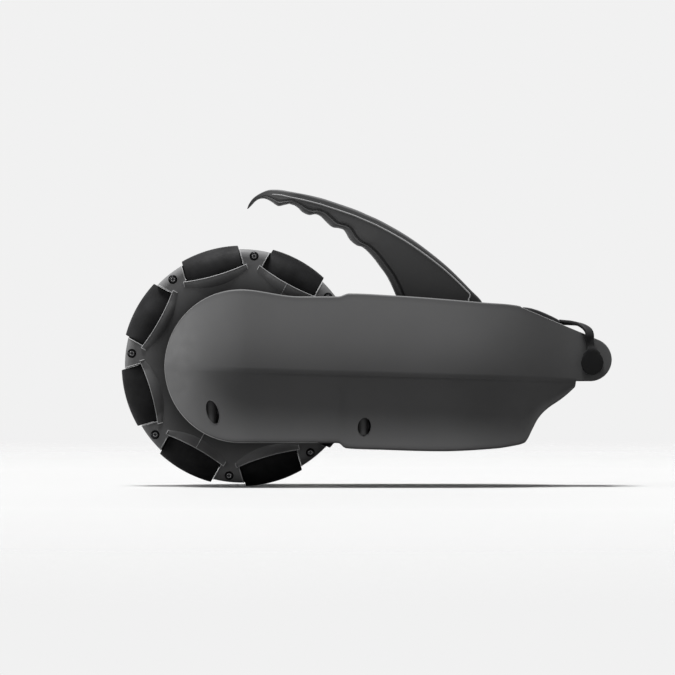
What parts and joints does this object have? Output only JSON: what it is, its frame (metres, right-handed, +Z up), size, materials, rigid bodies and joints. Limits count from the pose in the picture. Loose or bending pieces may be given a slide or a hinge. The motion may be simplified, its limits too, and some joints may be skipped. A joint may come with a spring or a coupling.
{
  "type": "wheelchair power assist",
  "caption": "Drive unit that hooks onto a manual wheelchair's axle bar and pushes it with a hub-motor wheel ringed by free rollers; arched carry handle on top.",
  "frame": {"origin": "centre of the footprint box, on the floor under the wheel", "axes": "+X forward from the wheel to the nose, +Y to the unit's left, +Z up"},
  "size_m": [0.3859, 0.134, 0.2339],
  "materials": {
    "casing": "fine satin moulded grey",
    "wheel_moulding": "matt charcoal",
    "roller_rubber": "smooth moulded rubber",
    "roller_nylon": "dark nylon",
    "arm_steel": "zinc plated plate",
    "shaft_steel": "turned steel",
    "cast_alloy": "die cast",
    "motor_iron": "laminated and coated iron",
    "copper": "enamelled wire",
    "cell_sleeve": "blue sleeve over a metal can",
    "holder_plastic": "black",
    "board": "green lacquer",
    "component_black": "black",
    "contact_gold": "plated",
    "soft_black": "soft rubber",
    "lead_red": "insulated wire",
    "panel_black": "dark satin",
    "button_grey": "satin",
    "light_lens": "translucent",
    "grip_plastic": "matt charcoal with a soft feel",
    "screw_black": "black oxide"
  },
  "bodies": {
    "chassis": {"right_shell": "casing", "left_shell": "casing", "left_cheek": "casing", "right_arm": "arm_steel", "left_arm": "arm_steel", "wheel_arch": "casing", "dock_head": "cast_alloy", "axle": "shaft_steel", "axle_spacers": "shaft_steel", "axle_nuts": "shaft_steel", "stator_core": "motor_iron", "stator_windings": "copper", "battery_cells": "cell_sleeve", "battery_holders": "holder_plastic", "controller_board": "board", "board_components": "component_black", "heat_sink": "cast_alloy", "battery_board": "board", "board_standoffs": "contact_gold", "charge_socket": "component_black", "charge_contacts": "contact_gold", "cap_strap": "soft_black", "control_panel": "panel_black", "button_switch": "component_black", "status_light": "light_lens", "handle_spine": "cast_alloy", "handle_grip": "grip_plastic", "shell_screws": "screw_black", "arm_bolts": "screw_black", "motor_cable": "soft_black", "battery_lead": "lead_red"},
    "wheel": {"rotor_can": "motor_iron", "rotor_magnets": "motor_iron", "right_hub_cover": "wheel_moulding", "left_hub_cover": "wheel_moulding", "hub_bearings": "shaft_steel", "right_wheel_plate": "wheel_moulding", "left_wheel_plate": "wheel_moulding", "plate_screws": "screw_black", "roller_pins": "shaft_steel"},
    "button": {"power_button": "button_grey"},
    "cap": {"charge_cap": "soft_black"},
    "free_roller_1": {"roller_1": "roller_rubber", "roller_core_1": "roller_nylon"},
    "free_roller_2": {"roller_2": "roller_rubber", "roller_core_2": "roller_nylon"},
    "free_roller_3": {"roller_3": "roller_rubber", "roller_core_3": "roller_nylon"},
    "free_roller_4": {"roller_4": "roller_rubber", "roller_core_4": "roller_nylon"},
    "free_roller_5": {"roller_5": "roller_rubber", "roller_core_5": "roller_nylon"},
    "free_roller_6": {"roller_6": "roller_rubber", "roller_core_6": "roller_nylon"},
    "free_roller_7": {"roller_7": "roller_rubber", "roller_core_7": "roller_nylon"},
    "free_roller_8": {"roller_8": "roller_rubber", "roller_core_8": "roller_nylon"}
  },
  "joints": [
    {"name": "wheel_spin", "type": "hinge", "parent": "chassis", "child": "wheel", "pos_m": [-0.09803, 0, 0.09494], "axis": [0, 1, 0], "continuous": true},
    {"name": "roller_1_spin", "type": "hinge", "parent": "wheel", "child": "free_roller_1", "pos_m": [-0.02516, 0, 0.11584], "axis": [-0.2756, 0, 0.9613], "continuous": true},
    {"name": "roller_2_spin", "type": "hinge", "parent": "wheel", "child": "free_roller_2", "pos_m": [-0.06128, 0, 0.16124], "axis": [-0.8746, 0, 0.4848], "continuous": true},
    {"name": "roller_3_spin", "type": "hinge", "parent": "wheel", "child": "free_roller_3", "pos_m": [-0.11892, 0, 0.16781], "axis": [-0.9613, 0, -0.2756], "continuous": true},
    {"name": "roller_4_spin", "type": "hinge", "parent": "wheel", "child": "free_roller_4", "pos_m": [-0.16432, 0, 0.13169], "axis": [-0.4848, 0, -0.8746], "continuous": true},
    {"name": "roller_5_spin", "type": "hinge", "parent": "wheel", "child": "free_roller_5", "pos_m": [-0.17089, 0, 0.07405], "axis": [0.2756, 0, -0.9613], "continuous": true},
    {"name": "roller_6_spin", "type": "hinge", "parent": "wheel", "child": "free_roller_6", "pos_m": [-0.13478, 0, 0.02865], "axis": [0.8746, 0, -0.4848], "continuous": true},
    {"name": "roller_7_spin", "type": "hinge", "parent": "wheel", "child": "free_roller_7", "pos_m": [-0.07713, 0, 0.02208], "axis": [0.9613, 0, 0.2756], "continuous": true},
    {"name": "roller_8_spin", "type": "hinge", "parent": "wheel", "child": "free_roller_8", "pos_m": [-0.03173, 0, 0.05819], "axis": [0.4848, 0, 0.8746], "continuous": true},
    {"name": "button_press", "type": "slide", "parent": "chassis", "child": "button", "axis": [-0.3861, 0, -0.9225], "range_m": [0, 0.0012], "stiffness_N_per_m": 800},
    {"name": "cap_swing", "type": "hinge", "parent": "chassis", "child": "cap", "pos_m": [0.17547, -0.0309, 0.11544], "axis": [-1, 0, 0], "range_deg": [0, 110]}
  ]
}
